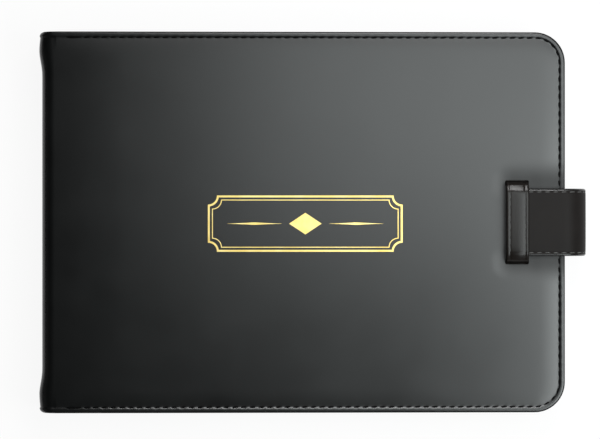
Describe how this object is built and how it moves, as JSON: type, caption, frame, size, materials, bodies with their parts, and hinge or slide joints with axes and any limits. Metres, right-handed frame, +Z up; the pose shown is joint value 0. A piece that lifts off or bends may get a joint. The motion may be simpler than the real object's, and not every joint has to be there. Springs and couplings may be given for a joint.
{
  "type": "pilot logbook binder",
  "caption": "Landscape ring-binder logbook in black stitched leatherette, with turning pages on a ring mechanism and a strap that tucks under a keeper loop.",
  "frame": {"origin": "middle of the back cover's underside, where the closed book lies on a table", "axes": "+X from the spine to the fore edge, +Y from the tail to the head of the book, +Z up through the closed book"},
  "size_m": [0.2536, 0.176, 0.0285],
  "materials": {
    "leatherette": "satin",
    "strap_leather": "satin",
    "board": "matte",
    "lining": "matte",
    "paper": "matte",
    "steel": "polished nickel plate"
  },
  "bodies": {
    "back_cover": {"back_skin": "leatherette", "back_board": "board", "back_lining": "lining", "back_hinge_strip": "leatherette", "ring_base": "steel", "rivet_head_end": "steel", "rivet_tail_end": "steel", "page_stack": "paper", "strap_root_outer": "strap_leather", "strap_root_facing": "strap_leather"},
    "spine": {"spine_skin": "leatherette", "spine_board": "board", "spine_lining": "lining", "front_hinge_strip": "leatherette"},
    "front_cover": {"front_skin": "leatherette", "front_board": "board", "front_lining": "lining", "keeper_band": "leatherette"},
    "rings_spine_side": {"blade_spine_side": "steel", "ring_spine_side_head_end": "steel", "ring_spine_side_tail_end": "steel"},
    "rings_page_side": {"blade_page_side": "steel", "ring_page_side_head_end": "steel", "ring_page_side_tail_end": "steel"},
    "lever_head_end": {"lever_head_end": "steel"},
    "lever_tail_end": {"lever_tail_end": "steel"},
    "turning_leaves": {"turning_leaves": "paper"},
    "strap_tongue": {"strap_tongue_outer": "strap_leather", "strap_tongue_facing": "strap_leather"}
  },
  "joints": [
    {"name": "spine_hinge", "type": "hinge", "parent": "back_cover", "child": "spine", "pos_m": [-0.11971, 0, 0.00129], "axis": [0, -1, 0], "range_deg": [0, 89.4], "deforming": ["back_hinge_strip"]},
    {"name": "front_cover_hinge", "type": "hinge", "parent": "spine", "child": "front_cover", "pos_m": [-0.11971, 0, 0.02721], "axis": [0, -1, 0], "range_deg": [0, 91.2], "deforming": ["front_hinge_strip"]},
    {"name": "leaves_turn", "type": "hinge", "parent": "back_cover", "child": "turning_leaves", "pos_m": [-0.104, 0, 0.0131], "axis": [0, -1, 0], "range_deg": [0, 181.5]},
    {"name": "spine_side_rings_open", "type": "hinge", "parent": "back_cover", "child": "rings_spine_side", "pos_m": [-0.1112, 0, 0.0053], "axis": [0, -1, 0], "range_deg": [0, 12]},
    {"name": "page_side_rings_open", "type": "hinge", "parent": "back_cover", "child": "rings_page_side", "pos_m": [-0.0968, 0, 0.0053], "axis": [0, -1, 0], "range_deg": [-12, 0]},
    {"name": "lever_head_end_press", "type": "hinge", "parent": "back_cover", "child": "lever_head_end", "pos_m": [-0.104, 0.0745, 0.0056], "axis": [-1, 0, 0], "range_deg": [0, 25]},
    {"name": "lever_tail_end_press", "type": "hinge", "parent": "back_cover", "child": "lever_tail_end", "pos_m": [-0.104, -0.0745, 0.0056], "axis": [1, 0, 0], "range_deg": [0, 25]},
    {"name": "strap_untuck", "type": "hinge", "parent": "back_cover", "child": "strap_tongue", "pos_m": [0.13018, 0, 0.01249], "axis": [0, 1, 0], "range_deg": [0, 150], "deforming": ["strap_tongue_outer", "strap_tongue_facing"]}
  ],
  "couplings": [
    {"joint": "spine_hinge", "follows": "front_cover_hinge", "ratio": 0.98},
    {"joint": "leaves_turn", "follows": "front_cover_hinge", "ratio": 1.99},
    {"joint": "page_side_rings_open", "follows": "spine_side_rings_open", "ratio": -1},
    {"joint": "lever_head_end_press", "follows": "spine_side_rings_open", "ratio": 2.08},
    {"joint": "lever_tail_end_press", "follows": "spine_side_rings_open", "ratio": 2.08}
  ]
}
